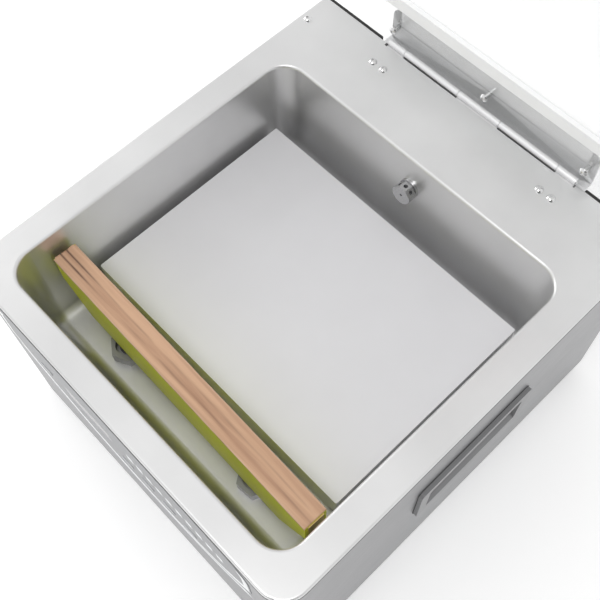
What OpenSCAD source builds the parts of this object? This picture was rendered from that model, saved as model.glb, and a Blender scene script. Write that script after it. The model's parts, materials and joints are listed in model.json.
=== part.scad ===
/* [Body] */
// Width of the casing
body_w = 484; // [478:1:490]
// Depth of the casing, front to back
body_d = 529; // [526:1:532]
// Height of the casing from its lower edge to the deck
body_h = 300; // [296:1:310]
// Height of the rubber feet
foot_h = 20; // [16:1:30]
// Plan radius of the two front corners
front_r = 30; // [28:1:34]

/* [Chamber] */
// Depth of the drawn chamber below the deck
tub_depth = 130; // [128:1:134]
// Half width of the chamber mouth, at the start of the rolled lip
mouth_x = 210.5; // [209:0.5:212]
// Half length of the chamber mouth, at the start of the rolled lip
mouth_y = 202.5; // [201:0.5:204]

/* [Seal bar] */
// Length of the seal bar
bar_l = 394; // [390:1:395]
// Height of the seal bar
bar_h = 80; // [76:1:82]
// How far the two lift rods raise the seal bar
bar_lift = 12; // [8:1:12]

/* [Lid] */
// Thickness of the clear lid's flange
flange_t = 10; // [8:1:12]
// Height of the space inside the dome, above the underside of the flange
dome_h = 50; // [45:1:60]
// Number of lamp windows on the control panel
lamp_count = 10; // [6:1:10]

/* [Hidden] */
$fn = 64;
sheet = 1.5;
deck_t = 2;
edge_r = 3;
rear_r = 4;
deck_z = foot_h + body_h;
half_w = body_w / 2;
half_d = body_d / 2;

// chamber: lip roll, wall draft, corner and floor radii
tub_y = -36;
lip_r = 4;
lip_rise = 0.05;
draft = 5;
mouth_r = 33;
floor_r = 16;
floor_z = -tub_depth + floor_r;
floor_x = mouth_r + (lip_r * sin(draft) - lip_r - floor_r + floor_z * sin(draft)) / cos(draft);
tub_a = mouth_x - mouth_r;
tub_b = mouth_y - mouth_r;

// filler plates, stacked on the chamber floor
plate = [380, 274, 14.7];
plate_y = -8.5;
plate_pitch = 15;

// seal bar and the rods that lift it
bar_y = -177;
bar_w = 27.5;
bar_turn = -1;
bar_chamfer = 40;
bar_top = deck_z - 28;
rod_x = 106;
rod_y = -180;
rod_r = 5;
run_fit = 0.05;
gland_h = 15;
gland_w = 37;
piston_r = 25;
piston_z = deck_z - tub_depth - 36;
cap_z = deck_z - tub_depth - deck_t - 46;

// hinge axis, and the lid in its closed place above the deck
hinge_y = 266;
hinge_z = deck_z + 1;
knuckle_r = 4;
pin_r = 2;
lid_gap = 6;
lid_z = deck_z + lid_gap;
lid_w = 472;
lid_front = -261;
lid_back = 274;
dome_wall = 8;
dome_draft = 12;
dome_base_r = 60;
dome_top_r = 25;
dome_y = -28;
dome_a = 214 - dome_base_r;
dome_b = 212 - dome_base_r;
seal_w = 16;
seal_gap = 0.3;
strap_x = 148;
strap_t = 2;
strap_front = 228;
lid_screw_x = 138;
lid_screw_y = 252;
post_x = 110;
post_r = 7;
post_foot_z = deck_z + 14;
knuckles = [-137, -112, -30, 30, 112, 137];

// deck fasteners: two pairs over the hinge leaf and one at each rear corner
deck_screws_at = [[-231, 223], [-131, 231], [-115, 231], [115, 231], [131, 231], [231, 223]];
head_r = 5.25;
head_h = 3.3;

// chamber nozzle on the rear wall
nozzle_z = deck_z - 44;
nozzle_r = 12.5;
pipe_r = 6;
nozzle_y = tub_y + mouth_y - lip_r * cos(draft)
    - (deck_z - nozzle_z + lip_rise - lip_r * (1 - sin(draft))) * tan(draft);

// side carrying handles
handle_y = 3.5;
handle_l = 169;
handle_h = 76;
handle_in_l = 142;
handle_in_h = 52;
handle_z = deck_z - 118;
handle_proud = 5;
handle_deep = 30;

// front control panel
panel_y = -half_d;
overlay_t = 0.6;
lens_x = 196;
lens_top = deck_z - 8;
lens_low = deck_z - 186;
lens_r = 235;
lens_corner = 34;
trim_gap = 20;
trim_w = 8;
lamp_z = deck_z - 76;
lamp_x0 = 14;
lamp_pitch = 15.2;
lamp_l = 9;
lamp_h = 14;
key_names = ["key_program", "key_minus", "key_plus", "key_stop", "key_power"];
key_x = [-4, 30, 64, 98, -130];
key_z = [deck_z - 128, deck_z - 128, deck_z - 128, deck_z - 128, deck_z - 84];
key_l = 20;
key_h = 11;
key_proud = 1;
display_x = -58;
display_z = deck_z - 84;
display_l = 72;
display_h = 26;

// the pump set, under the chamber
pump_z = 92;
pump_x = -205;
pump_y = 30;
pump_l = 130;
pump_w = 190;
pump_h = 118;
motor_r = 58;
motor_l = 128;
motor_x = pump_x + pump_l;
motor_y = 60;

// suction line: hose, its bends, and the valve block it passes through
hose_r = 9;
hose_bend = 25;
hose_x = -110;
drop_y = nozzle_y + 30 * cos(draft) + hose_bend * (1 - sin(draft));
valve_x = -20;
valve_y = 200;
valve_l = 110;
valve_z = 160;
hose_z = valve_z - 20;
tube_r = 3;

// rear panel fittings
inlet_x = 168;
inlet_z = 70;
switch_x = 168;
switch_z = 122;
rocker_tip = 7;
exhaust_x = -178;
exhaust_z = 60;
sight_x = -140;
sight_z = 74;

// the middle of the whole machine, with its lid open, stands on the origin
front_most = -half_d - overlay_t - key_proud;
back_most = hinge_y + (lid_z + dome_h + dome_wall - hinge_z) + head_h;
body_y = -(front_most + back_most) / 2;

// ---- shared shapes ----

// everything is drawn about the middle of the deck, then set over the origin
module placed() {
    translate([0, body_y, 0]) children();
}

// the lid and all that rides on it is drawn closed, then turned up to its open rest place
module opened() {
    placed()
        translate([0, hinge_y, hinge_z])
            rotate([-90, 0, 0])
                translate([0, -hinge_y, -hinge_z])
                    children();
}

// on the chamber's rear wall, with +Z square to the wall and pointing out of the chamber
module on_rear_wall() {
    translate([0, nozzle_y, nozzle_z]) rotate([-90 - draft, 0, 0]) children();
}

module rounded(w, d, r) {
    square([w - 2 * r, d], center = true);
    square([w, d - 2 * r], center = true);
    for (x = [-1, 1], y = [-1, 1])
        translate([x * (w / 2 - r), y * (d / 2 - r)]) circle(r);
}

// plan of the casing, grown or shrunk evenly
module footprint(grow = 0) {
    translate([-half_w - grow, -half_d + front_r])
        square([body_w + 2 * grow, body_d - front_r - rear_r]);
    translate([-half_w + front_r, -half_d - grow])
        square([body_w - 2 * front_r, front_r + grow]);
    translate([-half_w + rear_r, half_d - rear_r - 1])
        square([body_w - 2 * rear_r, rear_r + 1 + grow]);
    for (s = [-1, 1]) {
        translate([s * (half_w - front_r), -half_d + front_r]) circle(front_r + grow);
        translate([s * (half_w - rear_r), half_d - rear_r]) circle(rear_r + grow);
    }
}

// a profile swept round a rectangle with half sides a and b, filled in the middle
module swept(a, b, z_low, z_high) {
    for (turn = [0, 90, 180, 270]) {
        side = turn % 180 == 0 ? [a, b] : [b, a];
        rotate([0, 0, turn]) {
            translate([side[0], side[1], 0]) rotate_extrude(angle = 90) children();
            translate([side[0], 0, 0]) rotate([90, 0, 0])
                linear_extrude(2 * side[1], center = true) children();
        }
    }
    translate([-a, -b, z_low]) cube([2 * a, 2 * b, z_high - z_low]);
}

// half section of the chamber, out by g from its inner face
module tub_section(g, top) {
    lip = [mouth_r, lip_rise - lip_r];
    foot = [floor_x, floor_z];
    wall = [cos(draft), -sin(draft)];
    difference() {
        polygon([
            [0, top], [mouth_r, top], lip, lip - (lip_r - g) * wall,
            foot + (floor_r + g) * wall, foot, [floor_x, -tub_depth - g], [0, -tub_depth - g]
        ]);
        translate(lip) circle(lip_r - g);
    }
    translate(foot) intersection() {
        circle(floor_r + g);
        translate([0, -floor_r - g]) square(floor_r + g);
    }
}

// half section of the lid's dome, out by g from its inner face, over the flange's underside
module dome_section(g, low) {
    wall = [cos(dome_draft), sin(dome_draft)];
    top_z = dome_h - dome_top_r;
    top_x = dome_base_r - (dome_top_r + top_z * sin(dome_draft)) / cos(dome_draft);
    base_x = dome_base_r + g / cos(dome_draft);
    polygon([
        [0, low], [base_x - low * tan(dome_draft), low], [top_x, top_z] + (dome_top_r + g) * wall,
        [top_x, top_z], [top_x, dome_h + g], [0, dome_h + g]
    ]);
    translate([top_x, top_z]) intersection() {
        circle(dome_top_r + g);
        square(dome_top_r + g);
    }
}

// rounded upper edge of the deck, from a corner's centre outwards
module edge_section(r) {
    translate([0, -deck_t]) square([r - edge_r, deck_t]);
    intersection() {
        translate([r - edge_r, -edge_r]) circle(edge_r);
        translate([r - edge_r, -edge_r]) square(edge_r);
    }
}

module button_screw(shank_l, r = 3) {
    intersection() {
        cylinder(h = head_h, r = head_r);
        translate([0, 0, head_h - 6.2]) sphere(6.2);
    }
    translate([0, 0, -shank_l]) cylinder(h = shank_l, r = r);
}

module socket_screw(shank_l, r = 3) {
    difference() {
        button_screw(shank_l, r);
        translate([0, 0, head_h - 1.8]) cylinder(h = 3, r = 2.3, $fn = 6);
    }
}

module hex(across_flats, h) {
    cylinder(h = h, r = across_flats / 2 / cos(30), $fn = 6);
}

module dome_nut(across_flats, bore_r) {
    difference() {
        union() {
            hex(across_flats, across_flats * 0.45);
            intersection() {
                cylinder(h = across_flats * 0.8, r = across_flats * 0.47);
                translate([0, 0, across_flats * 0.2]) sphere(across_flats * 0.55);
            }
        }
        translate([0, 0, -1]) cylinder(h = across_flats * 0.45 + 1, r = bore_r);
    }
}

// ---- casing ----

module base_tray() {
    color("silver") placed() difference() {
        union() {
            translate([0, 0, foot_h]) linear_extrude(sheet) footprint(-sheet);
            translate([0, 0, foot_h]) linear_extrude(14) difference() {
                footprint(-sheet);
                footprint(-2 * sheet);
            }
        }
        for (x = [-1, 1], y = [-1, 1])
            translate([x * 218, y * 240, foot_h - 1]) cylinder(h = 4, r = 4);
        for (x = [-120 : 24 : 120], y = [-150, -110])
            translate([x - 5, y - 15, foot_h - 1]) cube([10, 30, 4]);
    }
}

// plan of the control panel: flat along the top, bowed along the bottom, grown evenly
module lens(grow = 0) {
    side_l = lens_top - lens_low + 20;
    intersection() {
        translate([0, lens_low + lens_r]) circle(lens_r + grow, $fn = 180);
        translate([0, lens_top - side_l / 2])
            rounded(2 * (lens_x + grow), side_l + 2 * grow, lens_corner + grow);
    }
}

// a plane shape given in x and z, standing on the front panel, from y0 back to y1
module on_front(y0, y1) {
    translate([0, y1, 0]) rotate([90, 0, 0]) linear_extrude(y1 - y0) children();
}

module key_plan(extra) {
    rounded(key_l + 2 * extra, key_h + 2 * extra, key_h / 2 + extra - 0.01);
}

module front_holes() {
    for (i = [0 : 4]) translate([key_x[i], key_z[i]]) key_plan(0.35);
    for (i = [0 : lamp_count - 1])
        translate([lamp_x0 + i * lamp_pitch, lamp_z]) square([lamp_l, lamp_h], center = true);
    translate([display_x, display_z]) rounded(display_l, display_h, 3);
}

module casing() {
    color("lightgray") placed() difference() {
        translate([0, 0, foot_h]) linear_extrude(body_h - edge_r) difference() {
            footprint(0);
            footprint(-sheet);
            translate([-half_w + 20, half_d - 10]) square([body_w - 40, 20]);
        }
        for (s = [0, 1]) mirror([s, 0, 0])
            handle_slab(-10, 20, handle_in_l + 4, handle_in_h + 4, 6);
        on_front(panel_y - 1, panel_y + 4) front_holes();
    }
}

module rear_panel() {
    color("lightgray") placed() difference() {
        translate([-half_w + 20, half_d - sheet, foot_h])
            cube([body_w - 40, sheet, body_h - edge_r]);
        translate([-140, half_d - 4, deck_z - 5]) cube([280, 8, 10]);
        on_front(half_d - 4, half_d + 2) {
            translate([inlet_x, inlet_z]) square([28, 20], center = true);
            translate([switch_x, switch_z]) square([27, 12.5], center = true);
            translate([exhaust_x, exhaust_z]) circle(11);
            translate([sight_x, sight_z]) rounded(46, 46, 10);
            for (i = [0 : 11]) translate([30, 60 + i * 11]) rounded(110, 4, 1.99);
            for (i = [0 : 5]) translate([-120, 160 + i * 11]) rounded(100, 4, 1.99);
        }
    }
}

// the deck's rolled edge along one side, length l, growing towards +X
module edge_strip(l, r) {
    rotate([90, 0, 0]) linear_extrude(l) edge_section(r);
}

module deck_sheet() {
    side_l = body_d - front_r - rear_r;
    inner_x = half_w - front_r;
    translate([0, 0, deck_z]) {
        for (s = [0, 1]) mirror([s, 0, 0]) {
            translate([inner_x, half_d - rear_r, 0]) edge_strip(side_l, front_r);
            translate([inner_x, -half_d + front_r, 0]) rotate([0, 0, -90])
                rotate_extrude(angle = 90) edge_section(front_r);
            translate([half_w - rear_r, half_d - rear_r, 0])
                rotate_extrude(angle = 90) edge_section(rear_r);
        }
        translate([inner_x, -half_d + front_r, 0]) rotate([0, 0, -90])
            edge_strip(2 * inner_x, front_r);
        translate([-half_w + rear_r, half_d - rear_r, 0]) rotate([0, 0, 90])
            edge_strip(body_w - 2 * rear_r, rear_r);
        translate([-inner_x, -half_d + front_r, -deck_t]) cube([2 * inner_x, side_l, deck_t]);
    }
}

module deck() {
    color("gainsboro") placed() difference() {
        union() {
            deck_sheet();
            translate([0, tub_y, deck_z])
                swept(tub_a, tub_b, -tub_depth - deck_t, 0) tub_section(deck_t, 0);
        }
        translate([0, tub_y, deck_z])
            swept(tub_a, tub_b, -tub_depth, 2) tub_section(0, 2);
        // notch for the hinge knuckles
        translate([-139.5, 259, deck_z - 5]) cube([279, 10, 10]);
        for (p = deck_screws_at) translate([p[0], p[1], deck_z - 5]) cylinder(h = 10, r = 3.2);
        for (s = [-1, 1]) translate([s * rod_x, rod_y, deck_z - tub_depth - 5])
            cylinder(h = 10, r = 10);
        on_rear_wall() translate([0, 0, -5]) cylinder(h = 15, r = pipe_r);
    }
}

module deck_screws() {
    color("gainsboro") placed()
        for (p = deck_screws_at) translate([p[0], p[1], deck_z]) socket_screw(10);
}

module corner_brackets() {
    color("silver") placed() for (s = [0, 1]) mirror([s, 0, 0]) difference() {
        union() {
            translate([219, 210, deck_z - deck_t - 2]) cube([half_w - edge_r - 219, 26, 2]);
            translate([half_w - sheet - 2, 210, deck_z - 30]) cube([2, 26, 30 - edge_r]);
        }
        translate([231, 223, deck_z - 8]) cylinder(h = 10, r = 3);
    }
}

module feet() {
    color("dimgray") placed() for (x = [-1, 1], y = [-1, 1])
        translate([x * 218, y * 240, 0]) {
            cylinder(h = 4, r = 17);
            translate([0, 0, 4]) cylinder(h = foot_h - 4, r1 = 17, r2 = 20);
            translate([0, 0, foot_h]) cylinder(h = 3, r = 4);
            translate([0, 0, foot_h + sheet]) cylinder(h = 4, r = 7);
        }
}

// carrying handle for the right side: a bezel that stands proud, and a cup that slopes in
module side_handle() {
    difference() {
        union() {
            handle_slab(0, handle_proud, handle_l, handle_h, 5);
            intersection() {
                handle_slab(-handle_deep, handle_deep, handle_in_l + 4, handle_in_h + 4, 6);
                cup_block(0);
            }
        }
        intersection() {
            handle_slab(-handle_deep, handle_deep + 10, handle_in_l, handle_in_h, 5);
            cup_block(2);
        }
    }
}

// rounded slab on the right side of the casing, from x out over a thickness
module handle_slab(x, thick, l, h, r) {
    translate([half_w + x, handle_y, handle_z]) rotate([90, 0, 90])
        linear_extrude(thick) rounded(l, h, r);
}

// solid wedge that gives the cup its sloping back, inset by t
module cup_block(t) {
    low = handle_z - handle_in_h / 2 - 2;
    high = handle_z + handle_in_h / 2 + 2;
    translate([0, handle_y + handle_l / 2, 0]) rotate([90, 0, 0]) linear_extrude(handle_l)
        polygon([
            [half_w + 15, low + t], [half_w + 4 + t, low + t],
            [half_w - handle_deep + t, high - 24], [half_w - handle_deep + t, high - t],
            [half_w + 15, high - t]
        ]);
}

module side_handles() {
    color("darkgray") placed() for (s = [0, 1]) mirror([s, 0, 0]) side_handle();
}

// ---- control panel ----

module control_overlay() {
    color("gray") placed() on_front(panel_y - overlay_t, panel_y) difference() {
        lens();
        front_holes();
    }
}

// one line just inside the panel's edge, and one on the casing below it
module overlay_trim() {
    color("white") placed() {
        on_front(panel_y - overlay_t - 0.2, panel_y - overlay_t) difference() {
            lens(-2);
            lens(-2 - trim_w);
            translate([-lens_x, lens_top - 18]) square([2 * lens_x, 20]);
        }
        on_front(panel_y - 0.2, panel_y) intersection() {
            difference() {
                translate([0, lens_low + lens_r]) circle(lens_r + trim_gap, $fn = 180);
                translate([0, lens_low + lens_r]) circle(lens_r + trim_gap - trim_w, $fn = 180);
            }
            translate([-lens_x, lens_low - 30]) square([2 * lens_x, 100]);
        }
    }
}

module display_window() {
    color("black") placed()
        on_front(panel_y - overlay_t, panel_y + sheet + 2) translate([display_x, display_z])
            rounded(display_l, display_h, 3);
}

module lamp_windows() {
    color("white") placed() on_front(panel_y - overlay_t - 0.2, panel_y + sheet + 2)
        for (i = [0 : lamp_count - 1])
            translate([lamp_x0 + i * lamp_pitch, lamp_z]) square([lamp_l, lamp_h], center = true);
}

module front_key(i) {
    color("lightgray") placed() {
        on_front(panel_y - overlay_t - key_proud, panel_y + sheet + 1)
            translate([key_x[i], key_z[i]]) key_plan(0);
        on_front(panel_y + sheet + 0.4, panel_y + sheet + 2)
            translate([key_x[i], key_z[i]]) key_plan(2);
        on_front(panel_y + sheet + 2, panel_y + sheet + 5)
            translate([key_x[i], key_z[i]]) circle(2.5);
    }
}

module control_board() {
    color("darkgreen") placed() {
        on_front(panel_y + 12, panel_y + 13.6)
            translate([0, deck_z - 108]) square([330, 96], center = true);
        for (i = [0 : 4]) on_front(panel_y + 8, panel_y + 12)
            translate([key_x[i], key_z[i]]) square([6, 6], center = true);
        for (x = [-160, 160], z = [-145, -71]) on_front(panel_y + sheet, panel_y + 12)
            translate([x, deck_z + z]) circle(3);
        on_front(panel_y + 5, panel_y + 12)
            translate([display_x, display_z]) square([60, 20], center = true);
    }
}

// ---- inside the chamber ----

module chamber_nozzle() {
    color("lightgray") placed() on_rear_wall() difference() {
        union() {
            translate([0, 0, -15]) cylinder(h = 15, r = nozzle_r);
            cylinder(h = 22, r = pipe_r);
        }
        for (turn = [0, -50, 50]) rotate([0, 0, turn]) {
            translate([-15, -40.6, -16]) cube([30, 30, 13]);
            translate([0, 0, -9]) rotate([90, 0, 0]) cylinder(h = 15, r = 2.4);
        }
        translate([0, 0, -12]) cylinder(h = 40, r = 4);
        translate([0, 0, -16]) cylinder(h = 6, r = 1.6);
    }
}

module nozzle_nut() {
    color("silver") placed() on_rear_wall() translate([0, 0, deck_t]) difference() {
        hex(22, 6);
        translate([0, 0, -1]) cylinder(h = 8, r = pipe_r);
    }
}

module filler_plate(level) {
    low = deck_z - tub_depth + 0.3 + level * plate_pitch;
    color("whitesmoke") placed() translate([0, plate_y, low]) difference() {
        linear_extrude(plate[2]) rounded(plate[0], plate[1], 2);
        if (level == 0) {
            for (s = [-1, 1]) translate([s * plate[0] / 2, 0, 0]) edge_bevel(14, plate[1]);
            translate([0, plate[1] / 2, 0]) rotate([0, 0, 90]) edge_bevel(6, plate[0]);
        }
    }
}

// cutter for a 45 degree bevel of leg a along an edge that runs in Y
module edge_bevel(a, l) {
    rotate([0, 45, 0]) cube([a * sqrt(2), l + 2, a * sqrt(2)], center = true);
}

// the seal bar sits a little askew on its rods: +X along the bar, from its middle
module on_bar() {
    placed() translate([0, bar_y, 0]) rotate([0, 0, bar_turn]) children();
}

module seal_bar_body() {
    low = bar_top - bar_h;
    color("olivedrab") difference() {
        on_bar() difference() {
            translate([-bar_l / 2, -bar_w / 2, low]) cube([bar_l, bar_w, bar_h]);
            for (s = [-1, 1]) translate([s * bar_l / 2, 0, low]) edge_bevel(bar_chamfer, bar_w);
        }
        placed() for (s = [-1, 1]) translate([s * rod_x, rod_y, low - 1])
            cylinder(h = 31, r = rod_r + run_fit);
    }
}

module heating_strips() {
    color("silver") on_bar() for (s = [-1, 1])
        translate([-bar_l / 2 + 2, s * 5 - 2, bar_top]) cube([bar_l - 4, 4, 0.8]);
}

module seal_tape() {
    over = 0.4;
    wide = bar_w + 2 * over;
    color("tan") on_bar() difference() {
        union() {
            translate([-bar_l / 2, -wide / 2, bar_top]) cube([bar_l, wide, over]);
            for (s = [-1, 1]) translate([-bar_l / 2, s * 5 - 3, bar_top])
                cube([bar_l, 6, 0.8 + over]);
            translate([-bar_l / 2, bar_w / 2, bar_top - 8]) cube([bar_l, over, 8]);
            translate([-bar_l / 2, -wide / 2, bar_top - 1.5]) cube([bar_l, over, 1.5]);
        }
        for (s = [-1, 1])
            translate([-bar_l / 2 + 2, s * 5 - 2, bar_top - 1]) cube([bar_l - 4, 4, 1.8]);
    }
}

module bar_end_clamps() {
    color("gold") on_bar() for (s = [-1, 1])
        translate([s * (bar_l / 2 + 0.6) - 0.6, -10, bar_top - 26]) cube([1.2, 20, 24]);
}

module lift_rods() {
    low = bar_top - bar_h;
    color("silver") placed() for (s = [-1, 1]) translate([s * rod_x, rod_y, 0]) {
        translate([0, 0, piston_z]) cylinder(h = 8, r = piston_r);
        translate([0, 0, piston_z]) cylinder(h = low + 29 - piston_z, r = rod_r);
        translate([0, 0, low - 5]) cylinder(h = 5, r = 8);
    }
}

module gland_nuts() {
    color("silver") placed() for (s = [-1, 1]) translate([s * rod_x, rod_y, deck_z - tub_depth])
        difference() {
            rotate([0, 0, 15 - 10 * s]) hex(gland_w, gland_h);
            translate([0, 0, -1]) cylinder(h = gland_h + 2, r = 9.9);
            translate([0, 0, gland_h - 5]) cylinder(h = 10, r = 14.2);
        }
}

module lift_cylinders() {
    top = deck_z - tub_depth - deck_t;
    color("gray") placed() for (s = [-1, 1]) translate([s * rod_x, rod_y, top]) difference() {
        union() {
            translate([0, 0, -46]) cylinder(h = 46, r = 30);
            cylinder(h = deck_t + gland_h - 1.5, r = 9.9);
        }
        translate([0, 0, -47]) cylinder(h = 41, r = piston_r + run_fit);
        translate([0, 0, -7]) cylinder(h = 30, r = rod_r + run_fit);
    }
}

module cylinder_caps() {
    color("dimgray") placed() for (s = [-1, 1]) translate([s * rod_x, rod_y, cap_z - 12])
        cylinder(h = 12, r = 32);
}

// air lines that drive the seal bar: one between the cylinders, one back to the valves
module lift_tubes() {
    port_z = cap_z - 6;
    bend_r = 16;
    back_y = valve_y - bend_r;
    color("deepskyblue") placed() {
        translate([-rod_x + 32, rod_y, port_z]) rotate([0, 90, 0])
            cylinder(h = 2 * rod_x - 64, r = tube_r);
        translate([rod_x, rod_y + 32, port_z]) rotate([-90, 0, 0])
            cylinder(h = back_y - rod_y - 32, r = tube_r);
        translate([rod_x - bend_r, back_y, port_z])
            rotate_extrude(angle = 90) translate([bend_r, 0]) circle(tube_r);
    }
}

// ---- hinge ----

module knuckle(x0, x1, bore) {
    translate([x0, hinge_y, hinge_z]) rotate([0, 90, 0]) difference() {
        cylinder(h = x1 - x0, r = knuckle_r);
        translate([0, 0, -1]) cylinder(h = x1 - x0 + 2, r = bore);
    }
}

module hinge_leaf() {
    leaf_top = deck_z - deck_t;
    color("silver") placed() difference() {
        union() {
            translate([-137, 205, leaf_top - 2]) cube([274, 56, 2]);
            for (k = [0, 2, 4]) {
                translate([knuckles[k], 260, leaf_top - 2])
                    cube([knuckles[k + 1] - knuckles[k], hinge_y - 260 + 2, 2]);
                knuckle(knuckles[k], knuckles[k + 1], pin_r);
            }
        }
        for (x = [-131, -115, 115, 131]) translate([x, 231, leaf_top - 5])
            cylinder(h = 10, r = 3);
        translate([-150, hinge_y, hinge_z]) rotate([0, 90, 0]) cylinder(h = 300, r = pin_r);
    }
}

module hinge_pin() {
    color("silver") placed() translate([-138.5, hinge_y, hinge_z]) rotate([0, 90, 0])
        cylinder(h = 277, r = pin_r);
}

module leaf_nuts() {
    color("silver") placed() for (x = [-131, -115, 115, 131])
        translate([x, 231, deck_z - deck_t - 2 - 5]) difference() {
            hex(10, 5);
            translate([0, 0, -1]) cylinder(h = 7, r = 3);
        }
}

// bent strap: its long leg lies on the lid's flange, then it turns down and under to the knuckles
module hinge_strap() {
    long_leg = strap_front - lid_back - strap_t;
    color("silver") opened() difference() {
        union() {
            translate([-strap_x, strap_front + 12, lid_z + flange_t])
                cube([2 * strap_x, -long_leg - 12, strap_t]);
            translate([-strap_x + 12, strap_front, lid_z + flange_t])
                cube([2 * strap_x - 24, 13, strap_t]);
            for (s = [-1, 1]) translate([s * (strap_x - 12), strap_front + 12, lid_z + flange_t])
                cylinder(h = strap_t, r = 12);
            translate([-strap_x, lid_back, hinge_z])
                cube([2 * strap_x, strap_t, lid_z + flange_t + strap_t - hinge_z]);
            for (k = [1, 3]) {
                x0 = knuckles[k] + 0.5;
                x1 = knuckles[k + 1] - 0.5;
                translate([x0, hinge_y + 2.5, hinge_z]) cube([x1 - x0, lid_back - hinge_y - 2, 2]);
                knuckle(x0, x1, pin_r + run_fit);
            }
        }
        translate([-150, hinge_y, hinge_z]) rotate([0, 90, 0])
            cylinder(h = 300, r = pin_r + run_fit);
        for (x = [-1, 0, 1]) translate([x * lid_screw_x, lid_screw_y, lid_z + flange_t - 1])
            cylinder(h = 5, r = 3);
    }
}

// ---- lid ----

module lid() {
    mid_y = (lid_front + lid_back) / 2;
    color("aliceblue", 0.4) opened() difference() {
        union() {
            translate([0, mid_y, lid_z]) linear_extrude(flange_t)
                rounded(lid_w, lid_back - lid_front, 28);
            translate([0, dome_y, lid_z])
                swept(dome_a, dome_b, 1, dome_h + dome_wall) dome_section(dome_wall, 1);
        }
        translate([0, dome_y, lid_z]) swept(dome_a, dome_b, -2, dome_h) dome_section(0, -2);
        translate([0, 0, lid_z - 1]) linear_extrude(3) seal_plan();
        for (x = [-1, 0, 1]) translate([x * lid_screw_x, lid_screw_y, lid_z - 1])
            cylinder(h = flange_t + 2, r = 3);
        for (s = [-1, 1]) translate([s * post_x, bar_y, lid_z]) cylinder(h = 80, r = 3);
    }
}

module seal_plan() {
    seal_l = 448;
    translate([0, -24]) difference() {
        rounded(456 + seal_w, seal_l + seal_w, 48);
        rounded(456 - seal_w, seal_l - seal_w, 34);
    }
}

module lid_seal() {
    color("white") opened() translate([0, 0, deck_z + seal_gap])
        linear_extrude(lid_gap + 2 - seal_gap) seal_plan();
}

module lid_screws() {
    color("silver") opened() {
        for (x = [-1, 0, 1]) translate([x * lid_screw_x, lid_screw_y, lid_z]) mirror([0, 0, 1])
            socket_screw(flange_t + strap_t + 4);
        for (s = [-1, 1]) translate([s * post_x, bar_y, lid_z + dome_h + dome_wall])
            socket_screw(dome_wall + 12);
    }
}

module lid_nuts() {
    color("silver") opened() for (x = [-1, 0, 1])
        translate([x * lid_screw_x, lid_screw_y, lid_z + flange_t + strap_t]) dome_nut(10, 3);
}

module counter_bar() {
    color("silver") opened() translate([-200, bar_y - 14, deck_z - 8]) difference() {
        cube([400, 28, post_foot_z - deck_z + 8]);
        translate([-1, 8, -1]) cube([402, 12, 9]);
    }
}

module counter_rubber() {
    low = bar_top + 1.2 + bar_lift + 0.4;
    color("firebrick") opened() {
        translate([-200, bar_y - 12, low]) cube([400, 24, deck_z - 8 - low]);
        translate([-200, bar_y - 6, deck_z - 8]) cube([400, 12, 8]);
    }
}

module counter_posts() {
    color("silver") opened() for (s = [-1, 1]) translate([s * post_x, bar_y, post_foot_z])
        difference() {
            cylinder(h = lid_z + dome_h - post_foot_z, r = post_r);
            translate([0, 0, lid_z + dome_h - post_foot_z - 14]) cylinder(h = 20, r = 3);
        }
}

// ---- pump set and services ----

module pump_block() {
    color("slategray") placed() {
        translate([pump_x, pump_y - 60, foot_h + 18]) cube([pump_l, pump_w, pump_h]);
        for (i = [0 : 6]) translate([pump_x + 12 + i * 17, pump_y - 66, foot_h + 30])
            cube([5, 6, pump_h - 24]);
    }
}

module pump_cover() {
    color("gray") placed() translate([pump_x + 10, pump_y + pump_w - 60, foot_h + 24])
        rotate([90, 0, 0]) mirror([0, 0, 1]) linear_extrude(10)
            translate([55, 40]) rounded(110, 80, 12);
}

module pump_motor() {
    color("slategray") placed() translate([motor_x, motor_y, pump_z]) rotate([0, 90, 0])
        difference() {
            union() {
                cylinder(h = motor_l, r = motor_r - 6);
                for (i = [0 : 19]) rotate([0, 0, i * 18])
                    translate([motor_r - 8, -1.5, 10]) cube([8, 3, motor_l - 20]);
                cylinder(h = 8, r = motor_r);
                translate([0, 0, motor_l - 8]) cylinder(h = 8, r = motor_r);
            }
            translate([0, 0, motor_l - 30]) cylinder(h = 40, r = 7 + run_fit);
        }
}

module motor_fan() {
    color("dimgray") placed() translate([motor_x + motor_l - 24, motor_y, pump_z]) rotate([0, 90, 0]) {
        cylinder(h = 46, r = 7);
        translate([0, 0, 28]) cylinder(h = 16, r = 15);
        for (i = [0 : 7]) rotate([0, 0, i * 45])
            translate([12, -1.2, 29]) cube([36, 2.4, 14]);
    }
}

module fan_cowl() {
    color("dimgray") placed() translate([motor_x + motor_l, motor_y, pump_z]) rotate([0, 90, 0])
        difference() {
            cylinder(h = 30, r = motor_r);
            translate([0, 0, -1]) cylinder(h = 29, r = motor_r - 2);
            for (i = [0 : 7]) rotate([0, 0, i * 45])
                translate([16, -4, 20]) cube([34, 8, 20]);
        }
}

module pump_mounts() {
    color("black") placed() {
        for (x = [15, pump_l - 15], y = [-45, pump_w - 75])
            translate([pump_x + x, pump_y + y, foot_h + sheet])
                cylinder(h = 18 - sheet, r = 12);
        translate([motor_x + 60, motor_y, foot_h + sheet])
            cylinder(h = pump_z - motor_r - foot_h - sheet, r = 12);
    }
}

module sight_glass() {
    color("khaki") placed() translate([sight_x, pump_y + pump_w - 50, sight_z])
        rotate([-90, 0, 0]) {
            cylinder(h = 8, r = 16);
            translate([0, 0, 8]) cylinder(h = 6, r = 13);
        }
}

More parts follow.
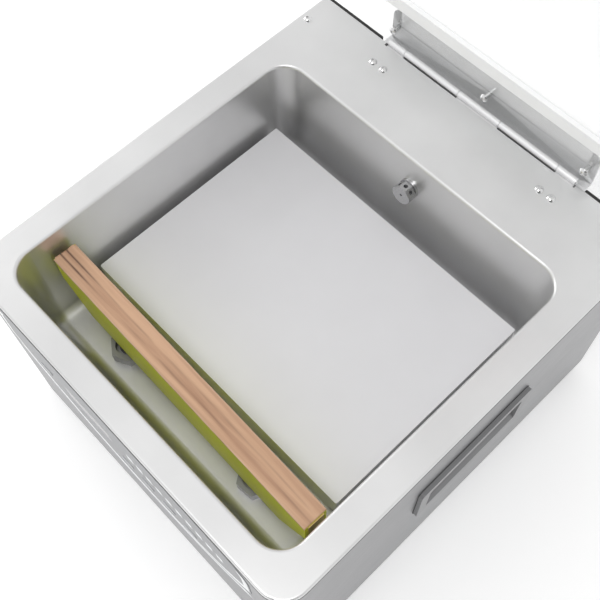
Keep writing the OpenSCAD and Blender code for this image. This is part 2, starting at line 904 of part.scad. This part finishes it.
module exhaust_port() {
    back_y = pump_y + pump_w - 50;
    color("dimgray") placed() translate([exhaust_x, back_y, exhaust_z]) rotate([-90, 0, 0])
        difference() {
            union() {
                cylinder(h = half_d - back_y + 26, r = 9);
                translate([0, 0, half_d - back_y]) cylinder(h = 3, r = 15);
            }
            translate([0, 0, -1]) cylinder(h = 150, r = 6);
        }
}

module pump_elbow() {
    color("goldenrod") placed() translate([hose_x, pump_y + pump_w - 60, hose_z])
        rotate([-90, 0, 0]) difference() {
            union() {
                cylinder(h = 20, r = pipe_r);
                cylinder(h = 5, r = 11, $fn = 6);
            }
            translate([0, 0, -1]) cylinder(h = 40, r = 4);
        }
}

module hose_ring() {
    difference() {
        circle(hose_r);
        circle(pipe_r);
    }
}

// a bend about +Z that starts on the +X side, and a straight length after it
module hose_turn(angle, l) {
    rotate_extrude(angle = angle) translate([hose_bend, 0]) hose_ring();
    rotate([0, 0, angle]) translate([hose_bend, 0, 0]) rotate([-90, 0, 0])
        linear_extrude(l) hose_ring();
}

// hose from the nozzle down to the valve block, and on from its side to the pump
module suction_hose() {
    tail = 30;
    drop_z = nozzle_z - tail * sin(draft) - hose_bend * cos(draft);
    color("black") placed() {
        on_rear_wall() {
            translate([0, 0, deck_t + 7]) linear_extrude(tail - deck_t - 7) hose_ring();
            translate([0, hose_bend, tail]) rotate([90, 0, -90])
                hose_turn(90 - draft, drop_z - valve_z);
        }
        translate([hose_x + hose_bend, drop_y, hose_z]) rotate([0, 90, 0])
            linear_extrude(valve_x - hose_x - hose_bend) hose_ring();
        translate([hose_x + hose_bend, drop_y - hose_bend, hose_z]) rotate([0, 0, 90])
            hose_turn(90, drop_y - hose_bend - pump_y - pump_w + 50);
    }
}

module hose_clamps() {
    color("silver") placed() {
        on_rear_wall() translate([0, 0, 13]) clamp_ring();
        translate([hose_x, pump_y + pump_w - 48, hose_z]) rotate([-90, 0, 0]) clamp_ring();
        translate([0, drop_y, valve_z + 4]) clamp_ring();
    }
}

module clamp_ring() {
    difference() {
        union() {
            cylinder(h = 7, r = hose_r + 1);
            translate([-5, hose_r - 1, 0]) cube([10, 7, 7]);
        }
        translate([0, 0, -1]) cylinder(h = 9, r = hose_r);
    }
}

module valve_block() {
    color("silver") placed() {
        translate([valve_x, drop_y - 18, valve_z - 38]) cube([valve_l, 36, 38]);
        translate([valve_x + 10, drop_y + 18, valve_z - 38])
            cube([90, half_d - sheet - drop_y - 18, 3]);
        translate([valve_x + 10, half_d - sheet - 3, valve_z - 38]) cube([90, 3, 30]);
    }
}

module solenoids() {
    color("black") placed() for (x = [52, 88]) translate([valve_x + x, drop_y, valve_z]) {
        translate([-14, -15, 4]) cube([28, 30, 34]);
        cylinder(h = 44, r = 6);
    }
}

module transformer() {
    color("dimgray") placed() translate([122, -110, foot_h + sheet]) {
        cube([106, 26, 96]);
        translate([10, 26, 12]) cube([86, 34, 72]);
        translate([0, 60, 0]) cube([106, 26, 96]);
    }
}

module mains_inlet() {
    color("black") placed() difference() {
        union() {
            on_front(half_d, half_d + 3) translate([inlet_x, inlet_z]) rounded(50, 26, 4);
            on_front(half_d - 22, half_d) translate([inlet_x, inlet_z]) square([28, 20], center = true);
        }
        on_front(half_d - 18, half_d + 5) translate([inlet_x, inlet_z]) square([24, 16], center = true);
    }
}

module switch_frame() {
    color("black") placed() difference() {
        union() {
            on_front(half_d, half_d + 2) translate([switch_x, switch_z]) rounded(31, 16, 2);
            on_front(half_d - 18, half_d) translate([switch_x, switch_z])
                square([27, 12.5], center = true);
        }
        on_front(half_d - 14, half_d + 5) translate([switch_x, switch_z])
            square([24, 10], center = true);
        translate([switch_x, half_d - 5, switch_z - 6]) cylinder(h = 12, r = 1.2 + run_fit);
    }
}

// drawn tipped to its off side
module power_rocker() {
    color("black") placed() translate([switch_x, half_d - 5, switch_z]) rotate([0, 0, -rocker_tip]) {
        translate([0, 0, -4.7]) linear_extrude(9.4)
            polygon([[-9, -4], [9, -4], [10.6, 7.5], [0, 5.6], [-10.6, 7.5]]);
        translate([0, 0, -5.9]) cylinder(h = 11.8, r = 1.2);
    }
}

module key_program() { front_key(0); }
module key_minus() { front_key(1); }
module key_plus() { front_key(2); }
module key_stop() { front_key(3); }
module key_power() { front_key(4); }
module filler_plate_bottom() { filler_plate(0); }
module filler_plate_middle() { filler_plate(1); }
module filler_plate_top() { filler_plate(2); }

base_tray();
casing();
rear_panel();
deck();
deck_screws();
corner_brackets();
feet();
side_handles();
control_overlay();
overlay_trim();
display_window();
lamp_windows();
key_program();
key_minus();
key_plus();
key_stop();
key_power();
control_board();
chamber_nozzle();
nozzle_nut();
filler_plate_top();
filler_plate_middle();
filler_plate_bottom();
seal_bar_body();
heating_strips();
seal_tape();
bar_end_clamps();
lift_rods();
gland_nuts();
lift_cylinders();
cylinder_caps();
lift_tubes();
hinge_leaf();
hinge_pin();
leaf_nuts();
hinge_strap();
lid();
lid_seal();
lid_screws();
lid_nuts();
counter_bar();
counter_rubber();
counter_posts();
pump_block();
pump_cover();
pump_motor();
motor_fan();
fan_cowl();
pump_mounts();
sight_glass();
exhaust_port();
pump_elbow();
suction_hose();
hose_clamps();
valve_block();
solenoids();
transformer();
mains_inlet();
switch_frame();
power_rocker();
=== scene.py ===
import json
import math

import bmesh
import bpy
from mathutils import Matrix, Vector, noise


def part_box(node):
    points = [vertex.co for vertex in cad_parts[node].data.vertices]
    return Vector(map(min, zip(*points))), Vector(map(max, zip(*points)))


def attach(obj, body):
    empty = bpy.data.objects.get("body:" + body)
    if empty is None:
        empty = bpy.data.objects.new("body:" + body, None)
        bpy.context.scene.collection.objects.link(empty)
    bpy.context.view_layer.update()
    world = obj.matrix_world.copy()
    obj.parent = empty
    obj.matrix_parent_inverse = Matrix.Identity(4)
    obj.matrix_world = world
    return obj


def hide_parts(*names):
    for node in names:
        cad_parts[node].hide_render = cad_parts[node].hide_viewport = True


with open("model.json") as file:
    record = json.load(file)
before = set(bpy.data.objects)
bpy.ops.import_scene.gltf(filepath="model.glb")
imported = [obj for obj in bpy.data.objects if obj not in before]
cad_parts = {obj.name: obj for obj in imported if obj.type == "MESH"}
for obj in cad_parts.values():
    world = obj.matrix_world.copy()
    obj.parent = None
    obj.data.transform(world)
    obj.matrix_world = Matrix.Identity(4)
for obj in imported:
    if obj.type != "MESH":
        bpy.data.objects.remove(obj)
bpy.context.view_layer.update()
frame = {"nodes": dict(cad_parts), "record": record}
nodes = frame["nodes"]
scene = bpy.context.scene
scene.view_settings.view_transform = "Standard"

DECK_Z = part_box("deck")[1].z


# ---- materials ----

GRAIN_DEPTH = 0.00001
# painted shade for the tape's creases and a painted highlight for its bent edges, mixed in through a vertex
# colour
TAPE_CREASE_SHADE = (0.13, 0.065, 0.04)
TAPE_EDGE_HIGHLIGHT = (0.72, 0.56, 0.42)


class Shader:
    """A node material being put together round one Principled shader."""

    def __init__(self, name, color, metallic=0.0, roughness=0.5, **sockets):
        self.material = bpy.data.materials.new(name)
        self.material.use_nodes = True
        self.tree = self.material.node_tree
        self.principled = self.tree.nodes["Principled BSDF"]
        self.principled.inputs["Base Color"].default_value = (*color, 1.0)
        self.principled.inputs["Metallic"].default_value = metallic
        self.principled.inputs["Roughness"].default_value = roughness
        for key, value in sockets.items():
            self.principled.inputs[key.replace("_", " ")].default_value = value
        self.bump = None
        self.coords = self.add("ShaderNodeTexCoord").outputs["Object"]

    def add(self, kind, **settings):
        node = self.tree.nodes.new(kind)
        for key, value in settings.items():
            setattr(node, key, value)
        return node

    def link(self, source, target):
        self.tree.links.new(source, target)

    def scaled(self, scale, turn=(0, 0, 0)):
        mapping = self.add("ShaderNodeMapping")
        mapping.inputs["Scale"].default_value = scale
        mapping.inputs["Rotation"].default_value = turn
        self.link(self.coords, mapping.inputs["Vector"])
        return mapping.outputs["Vector"]

    def noise(self, scale, detail=4.0, stretch=(1, 1, 1), distortion=0.0):
        node = self.add("ShaderNodeTexNoise")
        node.inputs["Scale"].default_value = scale
        node.inputs["Detail"].default_value = detail
        node.inputs["Distortion"].default_value = distortion
        self.link(self.scaled(stretch), node.inputs["Vector"])
        return node.outputs["Fac"]

    def spread(self, value, low, high, source=(0.3, 0.7)):
        node = self.add("ShaderNodeMapRange")
        node.inputs["From Min"].default_value = source[0]
        node.inputs["From Max"].default_value = source[1]
        node.inputs["To Min"].default_value = low
        node.inputs["To Max"].default_value = high
        self.link(value, node.inputs["Value"])
        return node.outputs["Result"]

    def tint(self, value, dark, light):
        node = self.add("ShaderNodeMix", data_type="RGBA")
        node.inputs[6].default_value = (*dark, 1.0)
        node.inputs[7].default_value = (*light, 1.0)
        self.link(value, node.inputs[0])
        self.link(node.outputs[2], self.principled.inputs["Base Color"])
        return node.outputs[2]

    def mixed(self, value, under, over):
        node = self.add("ShaderNodeMix", data_type="RGBA")
        self.link(value, node.inputs[0])
        self.link(under, node.inputs[6])
        node.inputs[7].default_value = (*over, 1.0)
        self.link(node.outputs[2], self.principled.inputs["Base Color"])
        return node.outputs[2]

    def rough(self, value, low, high):
        self.link(self.spread(value, low, high), self.principled.inputs["Roughness"])

    def height(self, value, strength, distance):
        node = self.add("ShaderNodeBump")
        node.inputs["Strength"].default_value = strength
        node.inputs["Distance"].default_value = distance
        self.link(value, node.inputs["Height"])
        if self.bump is not None:
            self.link(self.bump, node.inputs["Normal"])
        self.bump = node.outputs["Normal"]
        self.link(self.bump, self.principled.inputs["Normal"])


def satin_steel(name, color, roughness, grain=(1, 1, 1), metallic=1.0):
    """Brushed metal: grain stretches the brush marks, a broad slow swell bends the reflections."""
    s = Shader(name, color, metallic=metallic, roughness=roughness)
    cloud = s.noise(9.0, 3.0)
    dark = [c * 0.94 for c in color]
    light = [min(1.0, c * 1.04) for c in color]
    s.tint(s.spread(cloud, 0.0, 1.0), dark, light)
    brushed = s.noise(1400.0, 2.0, stretch=grain)
    s.rough(brushed, roughness - 0.05, roughness + 0.06)
    s.height(brushed, 0.25, GRAIN_DEPTH)
    s.height(s.noise(6.0, 2.0), 0.06, 0.002)
    return s.material


def moulded(name, color, roughness, grain=900.0, depth=0.00004, cloud=0.06, **sockets):
    """Plastic, rubber or film with a fine grain, its colour drifting by cloud either way."""
    s = Shader(name, color, roughness=roughness, **sockets)
    s.tint(s.spread(s.noise(14.0, 3.0), 0.0, 1.0), [c * (1 - cloud) for c in color],
           [min(1.0, c * (1 + cloud)) for c in color])
    fine = s.noise(grain, 3.0)
    s.rough(fine, roughness - 0.05, roughness + 0.05)
    s.height(fine, 0.3, depth)
    return s.material


def painted(name, color, roughness):
    """Coarser than a moulding, as a sprayed casting is."""
    return moulded(name, color, roughness, grain=420.0, depth=0.00015)


def cloth_tape(name, dark, light):
    """Woven tape, browned in streaks along the bar; its vertex colour holds painted shade in the creases in
    red, a painted highlight along the bent edges in green.
    """
    s = Shader(name, light, roughness=0.5)
    streaks = s.noise(40.0, 5.0, stretch=(0.12, 3.0, 3.0), distortion=0.4)
    tan = s.tint(s.spread(streaks, 0.0, 1.0, source=(0.30, 0.60)), dark, light)
    painted_shade_highlight = s.add("ShaderNodeVertexColor", layer_name="painted_shade_highlight")
    channels = s.add("ShaderNodeSeparateColor")
    s.link(painted_shade_highlight.outputs["Color"], channels.inputs["Color"])
    # darken the creases with painted shade and lighten the bent edges with a painted highlight
    for channel, color in (("Red", TAPE_CREASE_SHADE), ("Green", TAPE_EDGE_HIGHLIGHT)):
        tan = s.mixed(channels.outputs[channel], tan, color)
    s.rough(s.noise(300.0, 2.0), 0.42, 0.6)
    for turn in (0.0, math.pi / 2):
        weave = s.add("ShaderNodeTexWave", wave_type="BANDS", bands_direction="X")
        weave.inputs["Scale"].default_value = 320.0
        weave.inputs["Distortion"].default_value = 0.6
        s.link(s.scaled((1, 1, 1), turn=(0, 0, turn)), weave.inputs["Vector"])
        s.height(weave.outputs["Fac"], 0.3, 0.00004)
    s.height(streaks, 0.5, 0.0006)
    return s.material


def clear_acrylic(name, color, alpha):
    """Clear sheet as an even alpha, since the metal behind a refracting one goes black."""
    s = Shader(name, color, roughness=0.08, IOR=1.49, Alpha=alpha)
    s.height(s.noise(5.0, 2.0), 0.03, 0.001)
    s.rough(s.noise(60.0, 3.0), 0.05, 0.16)
    return s.material


MATERIALS = {
    # casing_sheet is the deck's stainless steel painted far darker, as painted shade on the casing's sides
    # and front
    "casing_sheet": satin_steel("casing_sheet", (0.26, 0.26, 0.268), 0.34, grain=(0.02, 0.02, 1.0)),
    "deck_steel": satin_steel("deck_steel", (0.765, 0.765, 0.765), 0.38, metallic=0.94),
    "bright_steel": satin_steel("bright_steel", (0.8, 0.8, 0.8), 0.14),
    "gland_steel": satin_steel("gland_steel", (0.34, 0.34, 0.35), 0.36),
    # hinge_steel is stainless made paler and less metallic than the other steels, a painted highlight so the
    # strap looks lit
    "hinge_steel": satin_steel("hinge_steel", (0.88, 0.88, 0.885), 0.36, grain=(0.1, 1.0, 1.0), metallic=0.6),
    "zinc_sheet": satin_steel("zinc_sheet", (0.5, 0.51, 0.52), 0.4),
    "foot_rubber": moulded("foot_rubber", (0.02, 0.02, 0.02), 0.7, depth=0.0001),
    "handle_plastic": moulded("handle_plastic", (0.24, 0.24, 0.245), 0.4),
    "overlay_film": moulded("overlay_film", (0.27, 0.273, 0.283), 0.4, cloud=0.02),
    "overlay_print": moulded("overlay_print", (0.92, 0.93, 0.94), 0.45),
    "display_dark": moulded("display_dark", (0.01, 0.01, 0.012), 0.12),
    "lamp_print": moulded("lamp_print", (0.9, 0.92, 0.94), 0.3),
    "key_grey": moulded("key_grey", (0.52, 0.53, 0.54), 0.45),
    "board_green": moulded("board_green", (0.02, 0.12, 0.05), 0.35),
    "nozzle_aluminium": satin_steel("nozzle_aluminium", (0.5, 0.5, 0.505), 0.24),
    "plate_white": moulded("plate_white", (0.66, 0.657, 0.673), 0.42, grain=300.0, cloud=0.015),
    "bar_laminate": moulded("bar_laminate", (0.64, 0.66, 0.035), 0.5, grain=500.0, depth=0.0001),
    "strip_metal": satin_steel("strip_metal", (0.6, 0.6, 0.6), 0.3),
    "tape_tan": cloth_tape("tape_tan", (0.38, 0.21, 0.125), (0.58, 0.36, 0.225)),
    "brass_clamp": satin_steel("brass_clamp", (0.75, 0.55, 0.24), 0.3),
    "cylinder_plastic": moulded("cylinder_plastic", (0.05, 0.05, 0.055), 0.5),
    "tube_blue": moulded("tube_blue", (0.03, 0.12, 0.45), 0.3),
    "lid_acrylic": clear_acrylic("lid_acrylic", (0.93, 0.95, 0.95), 0.13),
    "seal_silicone": moulded("seal_silicone", (0.95, 0.955, 0.955), 0.5, cloud=0.02),
    "counter_silicone": moulded("counter_silicone", (0.42, 0.07, 0.04), 0.6),
    "bar_aluminium": satin_steel("bar_aluminium", (0.72, 0.72, 0.73), 0.34),
    "pump_casting": painted("pump_casting", (0.06, 0.08, 0.1), 0.5),
    "motor_casting": painted("motor_casting", (0.07, 0.09, 0.12), 0.5),
    "fan_plastic": moulded("fan_plastic", (0.02, 0.02, 0.02), 0.45),
    "oil_glass": moulded("oil_glass", (0.6, 0.45, 0.1), 0.08),
    "hose_rubber": moulded("hose_rubber", (0.02, 0.02, 0.02), 0.6),
    "core_steel": painted("core_steel", (0.05, 0.05, 0.055), 0.5),
    "rocker_plastic": moulded("rocker_plastic", (0.4, 0.015, 0.012), 0.25),
}
for part in frame["record"]["subparts"]:
    o = nodes[part["node"]]
    o.data.materials.clear()
    o.data.materials.append(MATERIALS[part["material_slot"]])


# ---- pieces drawn here ----

def piece_from(bm, name, slot, body, smooth=True):
    """A finished mesh object with its material, riding on a body."""
    bmesh.ops.recalc_face_normals(bm, faces=bm.faces)
    for face in bm.faces:
        face.smooth = smooth
    mesh = bpy.data.meshes.new(name)
    bm.to_mesh(mesh)
    bm.free()
    piece = bpy.data.objects.new(name, mesh)
    scene.collection.objects.link(piece)
    mesh.materials.append(MATERIALS[slot])
    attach(piece, body)
    return piece


BAR_TURN = math.radians(-1.0)
TAPE_ROWS = 260
TAPE_SIDE_FRONT = 0.0018
TAPE_SIDE_REAR = 0.0080
TAPE_THICK = 0.0003
TAPE_CROWN = 0.00142
CREASES_AT = (-0.0047, 0.0028)
CREASE_WIDTH = 0.0011
CREASE_DEPTH = 0.00048
HEM_BEND = 0.0022


def bar_frame():
    """The seal bar's length, width, top and the turn that sets it over its middle."""
    low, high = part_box("seal_bar_body")
    c, s = math.cos(BAR_TURN), abs(math.sin(BAR_TURN))
    span_x, span_y = high.x - low.x, high.y - low.y
    length = (span_x * c - span_y * s) / (c * c - s * s)
    width = (span_y * c - span_x * s) / (c * c - s * s)
    middle = Vector(((low.x + high.x) / 2, (low.y + high.y) / 2, high.z))
    return length, width, Matrix.Translation(middle) @ Matrix.Rotation(BAR_TURN, 4, "Z")


def tape_height(along, across):
    """Height of the tape over the bar's top: low ridges, creases that fade from the left end, small waves."""
    fade = 0.35 + 0.65 * math.exp(-max(0.0, along - 0.04) / 0.035)
    wave = 0.00016 * noise.noise(Vector((along * 60.0, across * 260.0, 7.0)))
    return TAPE_CROWN - CREASE_DEPTH * fade * creases(along, across) + wave


def creases(along, across):
    """How far into a lengthwise crease a point lies, from 0 to 1. The creases wander a little."""
    drift = 0.0009 * noise.noise(Vector((along * 14.0, 3.0, 0.0)))
    return min(1.0, sum(math.exp(-((across - at - drift) / CREASE_WIDTH) ** 2) for at in CREASES_AT))


def tape_painted_light(along, across, side):
    """Two weights: painted shade in the creases, strongest near the left end, and a painted highlight along
    the bent edges.
    """
    broken = 0.5 + 0.9 * noise.noise(Vector((along * 35.0, across * 90.0, 4.0)))
    near_end = math.exp(-max(0.0, along - 0.030) / 0.016)
    crease_shade = creases(along, across) * (0.85 * near_end + 0.38 * max(0.0, broken))
    edge = math.exp(-((side - abs(across)) / 0.0006) ** 2)
    return min(1.0, crease_shade), min(1.0, 0.45 * edge * (0.55 + 0.6 * max(0.0, broken)))


def seal_tape():
    """Woven tape pulled over the heating strips, down both sides of the bar, with a ragged left end."""
    length, width, place = bar_frame()
    side = width / 2 + 0.0004
    across = [-side, -side, -side]
    down = [TAPE_SIDE_FRONT, TAPE_SIDE_FRONT / 2, 0.0]
    steps = 44
    across += [-side + 2 * side * (i + 0.5) / steps for i in range(steps)]
    down += [None] * steps
    across += [side, side, side, side]
    down += [0.0, TAPE_SIDE_REAR * 0.3, TAPE_SIDE_REAR * 0.7, TAPE_SIDE_REAR]
    bm = bmesh.new()
    # vertex colour: painted shade in the creases in red, painted highlight along the bent edges in green
    painted_shade_highlight = bm.verts.layers.float_color.new("painted_shade_highlight")
    rings = []
    for row in range(TAPE_ROWS + 1):
        along = length * row / TAPE_ROWS
        outer, inner = [], []
        for v, d in zip(across, down):
            ragged = 0.0032 * noise.noise(Vector((v * 420.0, 1.0, 5.0))) * math.exp(-along / 0.004)
            edge = max(0.0, abs(v) - side + HEM_BEND) / HEM_BEND
            if d is None:
                h = tape_height(along, v) - 0.0006 * edge ** 2
                outer.append(Vector((along - length / 2 + ragged, v, h)))
                inner.append(Vector((along - length / 2 + ragged, v * 0.995, h - TAPE_THICK)))
            else:
                sway = 0.00025 * noise.noise(Vector((along * 45.0, d * 300.0, 2.0)))
                hem = 0.0004 * noise.noise(Vector((along * 30.0, 9.0, 1.0))) if d > 0.0015 else 0.0
                out = math.copysign(abs(v) + 0.0003 + sway, v)
                inn = math.copysign(side - 0.0002, v)
                outer.append(Vector((along - length / 2 + ragged, out, 0.0005 - d + hem)))
                inner.append(Vector((along - length / 2 + ragged, inn, 0.0005 - d + hem)))
        rings.append([bm.verts.new(place @ p) for p in outer + inner[::-1]])
        for vert, v in zip(rings[-1], across + across[::-1]):
            vert[painted_shade_highlight] = (*tape_painted_light(along, v, side), 0.0, 1.0)
    for a, b in zip(rings, rings[1:]):
        for i in range(len(a)):
            j = (i + 1) % len(a)
            bm.faces.new((a[i], a[j], b[j], b[i]))
    half = len(rings[0]) // 2
    for ring in (rings[0], rings[-1]):
        for i in range(half - 1):
            bm.faces.new((ring[i], ring[i + 1], ring[-2 - i], ring[-1 - i]))
    tape = piece_from(bm, "seal_tape_cloth", "tape_tan", "bar")
    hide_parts("seal_tape")


def rounded_outline(low, high, radii, steps=10):
    """Points round a rectangle from low to high, a radius for each corner, anticlockwise from lower left."""
    corners = ((low[0], low[1], 1, 1), (high[0], low[1], -1, 1), (high[0], high[1], -1, -1),
               (low[0], high[1], 1, -1))
    points = []
    for turn, ((x, y, sx, sy), r) in enumerate(zip(corners, radii)):
        for i in range(steps + 1):
            a = math.pi + (turn + i / steps) * math.pi / 2
            points.append((x + sx * r + r * math.cos(a), y + sy * r + r * math.sin(a)))
    return points


def bead(name, outlines, slot, body):
    """A closed bead of square section: four matching outlines of 3-D points, joined in turn."""
    bm = bmesh.new()
    loops = [[bm.verts.new(p) for p in outline] for outline in outlines]
    for a, b in zip(loops, loops[1:] + loops[:1]):
        for i in range(len(a)):
            j = (i + 1) % len(a)
            bm.faces.new((a[i], a[j], b[j], b[i]))
    return piece_from(bm, name, slot, body, smooth=False)


DECK_FRONT_R = 0.030
DECK_REAR_R = 0.004
DECK_EDGE = 0.003
BEZEL_R = 0.005


def deck_gap_shade():
    """Black bead standing in for the shadow in the gap between the deck's rolled edge and the casing below
    it: painted shade.
    """
    low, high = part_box("deck")
    outlines = []
    for grow, drop in ((-0.0004, 0.0), (0.00025, 0.0), (0.00025, 0.0009), (-0.0004, 0.0009)):
        flat = rounded_outline((low.x - grow, low.y - grow), (high.x + grow, high.y + grow),
                               (DECK_FRONT_R, DECK_FRONT_R, DECK_REAR_R, DECK_REAR_R))
        outlines.append([Vector((x, y, DECK_Z - DECK_EDGE - drop)) for x, y in flat])
    bead("deck_gap_shade", outlines, "foot_rubber", "machine")


def handle_gap_shades():
    """Black bead round each handle's bezel, where it meets the casing: painted shade standing in for the
    shadow in the gap.
    """
    low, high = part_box("side_handles")
    left_wall, right_wall = (corner.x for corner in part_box("casing"))
    for name, wall, out in (("right", right_wall, 1), ("left", left_wall, -1)):
        outlines = []
        for grow, lift in ((-0.0006, 0.0), (0.0007, 0.0), (0.0007, 0.0003), (-0.0006, 0.0003)):
            flat = rounded_outline((low.y - grow, low.z - grow), (high.y + grow, high.z + grow),
                                   (BEZEL_R,) * 4)
            outlines.append([Vector((wall + out * (lift + 0.00002), y, z)) for y, z in flat])
        bead("handle_gap_shade_" + name, outlines, "foot_rubber", "machine")


def rear_gap_shades():
    """Black strips behind the deck's rear edge, one each side of the hinge strap: painted shade standing in
    for the shadow in the gap under the open lid.
    """
    low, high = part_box("deck")
    strap_low, strap_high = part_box("hinge_strap")
    for name, x0, x1 in (("left", low.x + 0.004, strap_low.x - 0.002),
                         ("right", strap_high.x + 0.002, high.x - 0.004)):
        bm = bmesh.new()
        section = ((0.0002, -0.0016), (0.0042, -0.0026), (0.0046, -0.0100), (0.0002, -0.0110))
        ends = []
        for x in (x0, x0 + 0.0006, x1 - 0.0006, x1):
            inset = 0.0004 if x in (x0, x1) else 0.0
            ends.append([bm.verts.new((x, high.y + max(0.0001, y - inset), DECK_Z + z)) for y, z in section])
        for a, b in zip(ends, ends[1:]):
            for i in range(4):
                bm.faces.new((a[i], a[(i + 1) % 4], b[(i + 1) % 4], b[i]))
        bm.faces.new(ends[0])
        bm.faces.new(ends[-1])
        piece_from(bm, "rear_gap_shade_" + name, "foot_rubber", "machine", smooth=False)


seal_tape()
deck_gap_shade()
handle_gap_shades()
rear_gap_shades()

# ---- stage, light and camera ----

FLOOR_HALF = 12.0
FLOOR_GLOW = 0.24

bm = bmesh.new()
bmesh.ops.create_grid(bm, x_segments=2, y_segments=2, size=FLOOR_HALF)
floor_mesh = bpy.data.meshes.new("floor")
bm.to_mesh(floor_mesh)
floor = bpy.data.objects.new("floor", floor_mesh)
scene.collection.objects.link(floor)
floor_look = Shader("floor_white", (0.92, 0.92, 0.92), roughness=0.9, Emission_Strength=FLOOR_GLOW,
                    Specular_IOR_Level=0.0)
floor_look.principled.inputs["Emission Color"].default_value = (1.0, 1.0, 1.0, 1.0)
floor.data.materials.append(floor_look.material)

world = bpy.data.worlds.new("studio")
scene.world = world
world.use_nodes = True
SKY_GREY, DRAPE_GREY = 0.86, 0.2
TOWARDS_DRAPE = (0.62, -0.62, 0.48)

background = world.node_tree.nodes["Background"]
background.inputs["Strength"].default_value = 1.0
# an even white sky with one dark drape, low on the front right, for the bright metal to show its form by
direction = world.node_tree.nodes.new("ShaderNodeTexCoord")
towards_drape = world.node_tree.nodes.new("ShaderNodeVectorMath")
towards_drape.operation = "DOT_PRODUCT"
towards_drape.inputs[1].default_value = TOWARDS_DRAPE
fall = world.node_tree.nodes.new("ShaderNodeMapRange")
for socket, value in (("From Min", 0.78), ("From Max", 0.93), ("To Min", SKY_GREY), ("To Max", DRAPE_GREY)):
    fall.inputs[socket].default_value = value
world.node_tree.links.new(direction.outputs["Generated"], towards_drape.inputs[0])
world.node_tree.links.new(towards_drape.outputs["Value"], fall.inputs["Value"])
world.node_tree.links.new(fall.outputs["Result"], background.inputs["Color"])


def area_light(name, at, towards, size, power):
    data = bpy.data.lights.new(name, "AREA")
    data.size = size
    data.energy = power
    o = bpy.data.objects.new(name, data)
    o.location = at
    o.rotation_euler = (Vector(towards) - Vector(at)).to_track_quat("-Z", "Y").to_euler()
    scene.collection.objects.link(o)


area_light("left_panel", (-1.95, -0.25, 1.2), (0, 0, 0.3), 0.9, 9)
area_light("high_panel", (0.35, -1.0, 2.4), (0, -0.1, 0.3), 0.7, 14)

CAMERA_FROM_DECK = Vector((0.3476, -0.3217, 0.8343))
YAW, PITCH, ROLL = (math.radians(a) for a in (-48.42, 63.20, -2.47))
deck_low, deck_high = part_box("deck")
deck_middle = Vector(((deck_low.x + deck_high.x) / 2, (deck_low.y + deck_high.y) / 2, DECK_Z))
forward = Vector((math.sin(YAW) * math.cos(PITCH), math.cos(YAW) * math.cos(PITCH), -math.sin(PITCH)))
right = Vector((math.cos(YAW), -math.sin(YAW), 0.0))
up = right.cross(forward)
image_right = math.cos(ROLL) * right + math.sin(ROLL) * up
image_up = -math.sin(ROLL) * right + math.cos(ROLL) * up
camera_data = bpy.data.cameras.new("camera")
camera_data.lens = 55.75
camera_data.sensor_width = 36.0
camera_data.clip_start = 0.05
camera = bpy.data.objects.new("camera", camera_data)
axes = Matrix((image_right, image_up, -forward)).transposed()
camera.matrix_world = Matrix.Translation(deck_middle + CAMERA_FROM_DECK) @ axes.to_4x4()
scene.collection.objects.link(camera)
scene.camera = camera
